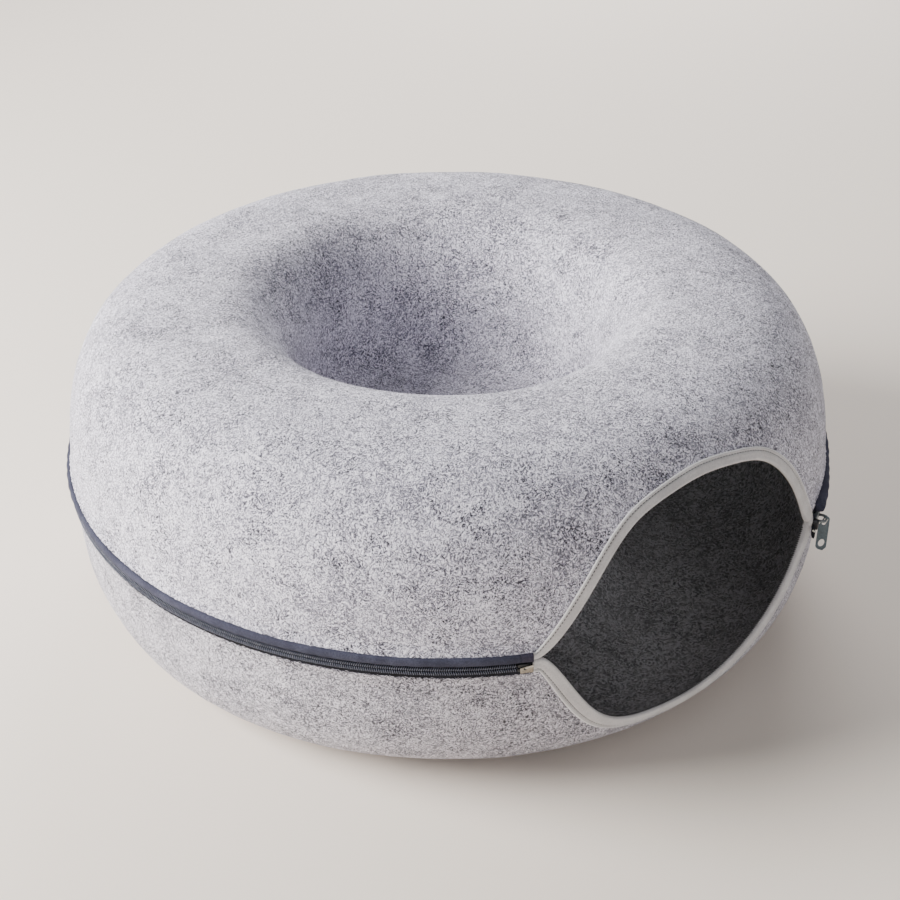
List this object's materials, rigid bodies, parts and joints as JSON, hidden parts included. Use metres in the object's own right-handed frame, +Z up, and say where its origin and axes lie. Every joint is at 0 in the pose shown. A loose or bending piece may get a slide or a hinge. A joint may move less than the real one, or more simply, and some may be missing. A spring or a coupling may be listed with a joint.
{
  "type": "donut cat tunnel",
  "caption": "Ring-shaped felt cat tunnel with an eye-shaped side entrance, a round dimple bed on top and a zip round its middle that lets the upper half lift off.",
  "frame": {"origin": "centre of the bounding box's underside, on the floor; the ring's own axis is 6.5 mm in front of it", "axes": "+Z up, -Y out through the entrance, +X to the right of someone looking in"},
  "size_m": [0.6099, 0.5974, 0.2527],
  "materials": {
    "grey_felt": "moulded felt, light grey marl with a short nap",
    "charcoal_felt": "matt charcoal felt",
    "pale_tape": "woven tape, warm light grey",
    "zip_tape": "woven tape, black",
    "slate_welt": "woven cloth, slate blue",
    "dark_fold": "woven cloth, dark navy",
    "black_nylon": "moulded nylon, black",
    "tan_tab": "woven tape, tan",
    "bright_metal": "plated, bright",
    "gunmetal": "painted, satin gunmetal"
  },
  "bodies": {
    "lower_half": {"lower_shell": "grey_felt", "lower_lining": "charcoal_felt", "lower_entrance_binding": "pale_tape", "lower_zip_tape": "zip_tape", "lower_zip_coil": "black_nylon", "lower_top_stop": "black_nylon", "retainer_box": "black_nylon", "zip_end_tab": "tan_tab", "zip_end_box": "black_nylon", "zip_tail": "zip_tape", "tail_eyelet": "bright_metal"},
    "upper_half": {"upper_shell": "grey_felt", "upper_lining": "charcoal_felt", "upper_entrance_binding": "pale_tape", "upper_zip_tape": "zip_tape", "zip_welt": "slate_welt", "welt_end_cap": "dark_fold", "upper_zip_coil": "black_nylon", "upper_top_stop": "black_nylon", "insertion_pin": "black_nylon"},
    "slider": {"slider_body": "gunmetal", "slider_bridge": "gunmetal"},
    "pull": {"pull_tab": "gunmetal"}
  },
  "joints": [
    {"name": "upper_lift", "type": "slide", "parent": "lower_half", "child": "upper_half", "axis": [0, 0, 1], "range_m": [0, 0.3]},
    {"name": "slider_run", "type": "hinge", "parent": "lower_half", "child": "slider", "pos_m": [0, -0.00651, 0.1227], "axis": [0, 0, 1], "range_deg": [0, 301.9]},
    {"name": "pull_tab_swing", "type": "hinge", "parent": "slider", "child": "pull", "pos_m": [0.14967, -0.28021, 0.1217], "axis": [-0.8774, -0.4798, 0], "range_deg": [0, 160]}
  ]
}
